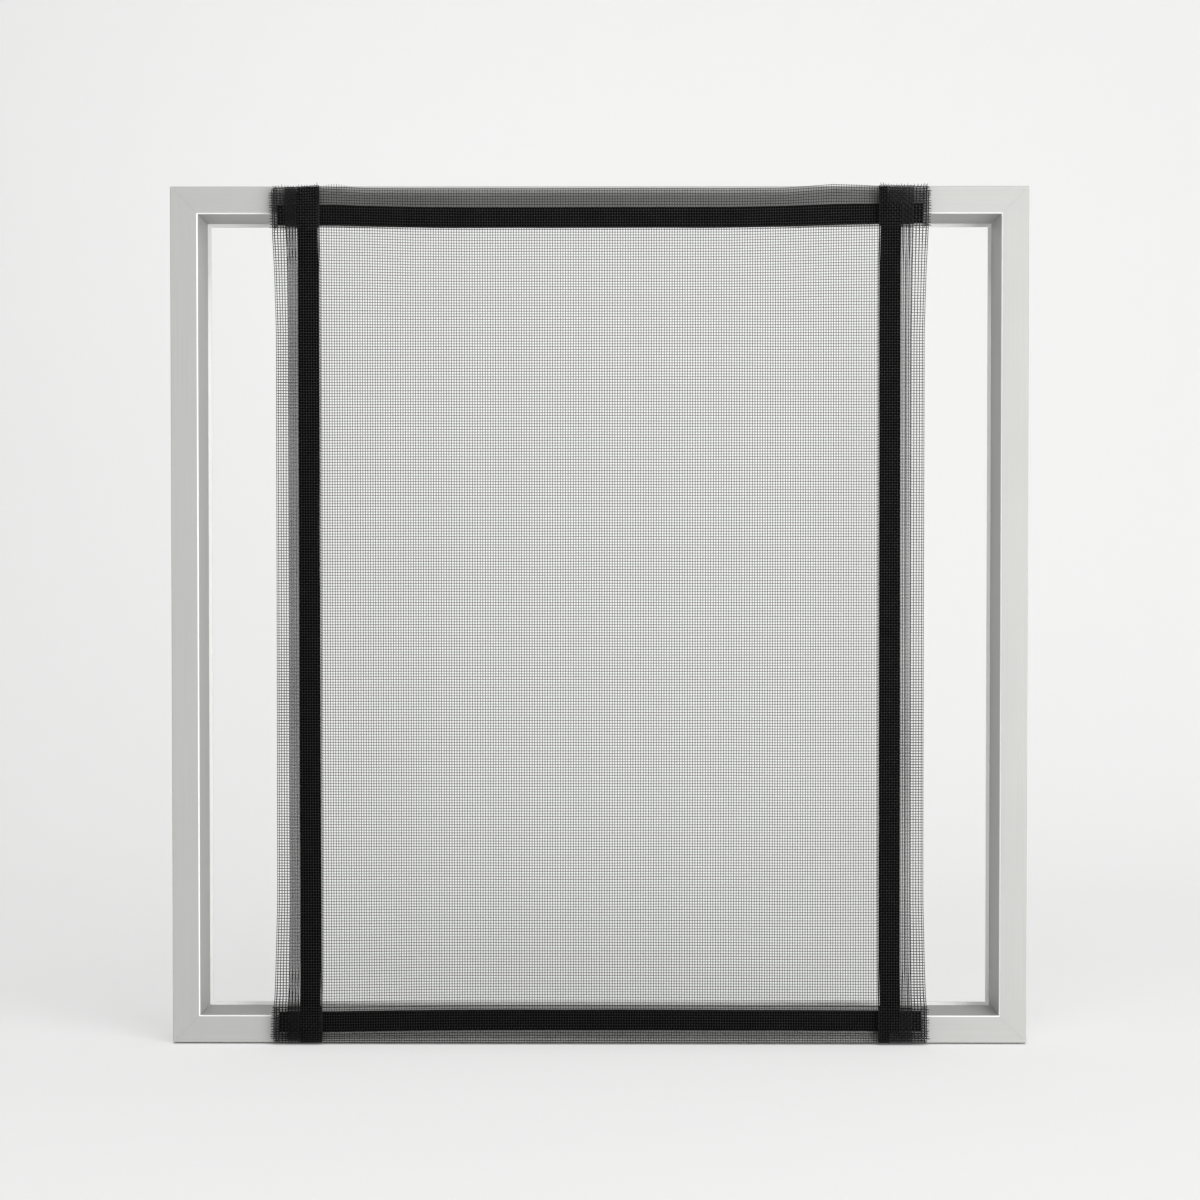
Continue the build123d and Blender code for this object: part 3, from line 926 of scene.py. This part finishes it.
def lay_strip(context, node, strip, panel, rubber):
    """Make one strip, bend it to the hem that holds it, and put it in place of its solid."""
    low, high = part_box(node)
    axis = 0 if high[0] - low[0] > high[2] - low[2] else 2
    stations = evenly(low[axis], high[axis], STRIP_STEPS)
    roots = (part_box("bottom_magnet_strip")[0][2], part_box("top_magnet_strip")[1][2])
    tongued = node == "right_magnet_strip"
    if tongued:
        # Two close stations at the root of each tongue keep its shoulder sharp.
        near, clear = 0.1 * MM, 1 * MM
        stations = [s for s in stations if all(abs(s - root) > clear for root in roots)]
        stations = sorted(stations + [root + d for root in roots for d in (-near, near)])
    piece = strip_blank(context, f"{node}_laid", low, high, axis, strip, stations)
    middle_y = (low[1] + high[1]) / 2
    for vertex in piece.data.vertices:
        x, y, z = vertex.co
        if tongued and z < roots[0]:
            x = min(x, low[0] + strip.bottom_tongue)
        if tongued and z > roots[1]:
            x = min(x, low[0] + strip.top_tongue)
        if axis == 0:
            level = (2 * panel.step + panel.pocket) / 2
        else:
            turned, front = panel.side_levels(z)
            level = (turned + front) / 2
        vertex.co = panel.settle(x, level + middle_y - y, z)
    piece.data.materials.append(rubber)
    bpy.ops.object.select_all(action="DESELECT")
    piece.select_set(True)
    context.view_layer.objects.active = piece
    bpy.ops.object.shade_smooth_by_angle(angle=math.radians(40))
    use(piece)
    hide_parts(node)


def area_light(name, place, target, size, watts):
    """A soft light panel aimed at a point."""
    data = bpy.data.lights.new(name, "AREA")
    data.shape = "RECTANGLE"
    data.size, data.size_y = size
    data.energy = watts
    light = bpy.data.objects.new(name, data)
    light.location = place
    light.rotation_euler = (Vector(target) - Vector(place)).to_track_quat("-Z", "Y").to_euler()
    bpy.context.scene.collection.objects.link(light)


def studio_white(name, tint, glow):
    """Matt white studio vinyl: it takes the soft shadows and shows pale to the camera and in reflections.

    It has no glow under the frame and close in front of it: painted shade, so that the real shadow there
    shows as a thin dark line.
    """
    material, tree, output = new_material(name)
    matt = add_node(tree, "ShaderNodeBsdfDiffuse", {"Color": tint})
    pale = add_node(tree, "ShaderNodeEmission", {"Color": (1, 1, 1, 1), "Strength": glow})
    place = add_node(tree, "ShaderNodeTexCoord")
    parts = add_node(tree, "ShaderNodeSeparateXYZ", {"Vector": place.outputs["Object"]})
    beyond = []
    for axis, reach in (("X", FRAME_BOX[1][0]), ("Y", FRAME_BOX[1][1] + SHADED_MARGIN)):
        off = add_node(tree, "ShaderNodeMath", {0: parts.outputs[axis]}, operation="ABSOLUTE")
        beyond.append(
            add_node(tree, "ShaderNodeMath", {0: off.outputs[0], 1: reach}, operation="GREATER_THAN")
        )
    open_floor = add_node(
        tree, "ShaderNodeMath", {0: beyond[0].outputs[0], 1: beyond[1].outputs[0]}, operation="MAXIMUM"
    )
    share = add_node(
        tree, "ShaderNodeMath", {0: open_floor.outputs[0], 1: GLOW_SHARE}, operation="MULTIPLY"
    )
    shown = add_node(
        tree, "ShaderNodeMixShader", {"Fac": share.outputs[0], 1: matt.outputs[0], 2: pale.outputs[0]}
    )
    rays = add_node(tree, "ShaderNodeLightPath")
    seen = rays.outputs["Is Camera Ray"]
    for way in ("Is Glossy Ray", "Is Transmission Ray"):
        either = add_node(tree, "ShaderNodeMath", {0: seen, 1: rays.outputs[way]}, operation="MAXIMUM")
        seen = either.outputs[0]
    surface = add_node(
        tree, "ShaderNodeMixShader", {"Fac": seen, 1: matt.outputs[0], 2: shown.outputs[0]}
    )
    tree.links.new(surface.outputs[0], output.inputs["Surface"])
    return material


def lay_floor(context, level):
    """A wide floor whose back edge is drawn up into a backdrop, with a large soft curve between."""
    bpy.ops.object.select_all(action="DESELECT")
    bpy.ops.mesh.primitive_plane_add(size=1, location=(0, FLOOR_MIDDLE, level))
    floor = context.active_object
    floor.name = "studio_sweep"
    floor.scale = (FLOOR_WIDTH, FLOOR_DEPTH, 1)
    bpy.ops.object.transform_apply(location=True, rotation=True, scale=True)
    bpy.ops.object.mode_set(mode="EDIT")
    bpy.ops.mesh.select_mode(type="EDGE")
    bpy.ops.mesh.select_all(action="DESELECT")
    bpy.ops.object.mode_set(mode="OBJECT")
    for edge in floor.data.edges:
        edge.select = all(floor.data.vertices[v].co.y > FLOOR_MIDDLE for v in edge.vertices)
    bpy.ops.object.mode_set(mode="EDIT")
    bpy.ops.mesh.extrude_region_move(TRANSFORM_OT_translate={"value": (0, 0, BACKDROP_HEIGHT)})
    bpy.ops.object.mode_set(mode="OBJECT")
    curve = floor.modifiers.new("curve", "BEVEL")
    curve.width = CURVE_RADIUS
    curve.segments = CURVE_SEGMENTS
    curve.limit_method = "ANGLE"
    bpy.ops.object.modifier_apply(modifier="curve")
    bpy.ops.object.shade_smooth()
    return floor


def set_camera(context, studio):
    """The camera in front of the frame, with a shifted lens that keeps the uprights nearly upright."""
    data = bpy.data.cameras.new("camera")
    data.sensor_width = SENSOR_WIDTH
    data.lens = studio.focal
    data.shift_x = studio.shift_x
    data.shift_y = studio.shift_y
    camera = bpy.data.objects.new("camera", data)
    camera.location = (0, FRAME_BOX[0][1] - studio.distance, studio.height)
    camera.rotation_euler = (math.pi / 2 - studio.pitch, 0, studio.yaw)
    context.scene.collection.objects.link(camera)
    context.scene.camera = camera


class SCREEN_OT_stage(bpy.types.Operator):
    """Set the floor and backdrop, the lights and the camera"""

    bl_idname = "screen.stage"
    bl_label = "Studio"

    def execute(self, context):
        studio = context.scene.screen_studio
        floor = lay_floor(context, -studio.floor_gap)
        tint = context.scene.screen_colours.floor
        floor.data.materials.append(studio_white("studio_vinyl_matt", tint, studio.glow))

        world = bpy.data.worlds.new("studio_surround")
        world.use_nodes = True
        background = world.node_tree.nodes["Background"]
        background.inputs["Color"].default_value = (1, 1, 1, 1)
        background.inputs["Strength"].default_value = studio.sky
        context.scene.world = world
        powers = (studio.key_power, studio.fill_power, studio.top_power, studio.wash_power)
        for light, watts in zip(LIGHTS, powers):
            area_light(*light, watts)
        set_camera(context, studio)
        context.scene.view_settings.view_transform = "Standard"
        return {"FINISHED"}


class VIEW3D_PT_insect_screen(bpy.types.Panel):
    """Sizes, colours and steps of the insect screen"""

    bl_label = "Insect Screen"
    bl_idname = "VIEW3D_PT_insect_screen"
    bl_space_type = "VIEW_3D"
    bl_region_type = "UI"
    bl_category = "Insect Screen"

    def draw(self, context):
        for name in GROUPS:
            box = self.layout.box()
            group = getattr(context.scene, name)
            for key in group.bl_rna.properties.keys():
                if key not in {"rna_type", "name"}:
                    box.prop(group, key)
        for step in STEPS:
            self.layout.operator(step.bl_idname)


GROUPS = {
    "screen_sheet": ScreenSheet,
    "screen_strip": ScreenStrip,
    "screen_colours": ScreenColours,
    "screen_studio": ScreenStudio,
}
STEPS = (SCREEN_OT_frame, SCREEN_OT_mesh, SCREEN_OT_magnets, SCREEN_OT_stage)


def register():
    for name, group in GROUPS.items():
        bpy.utils.register_class(group)
        setattr(bpy.types.Scene, name, bpy.props.PointerProperty(type=group))
    for step in STEPS:
        bpy.utils.register_class(step)
    bpy.utils.register_class(VIEW3D_PT_insect_screen)


def unregister():
    bpy.utils.unregister_class(VIEW3D_PT_insect_screen)
    for step in reversed(STEPS):
        bpy.utils.unregister_class(step)
    for name, group in reversed(list(GROUPS.items())):
        delattr(bpy.types.Scene, name)
        bpy.utils.unregister_class(group)


def main():
    register()
    bpy.ops.screen.frame()
    bpy.ops.screen.mesh()
    bpy.ops.screen.magnets()
    bpy.ops.screen.stage()


if __name__ == "__main__":
    main()
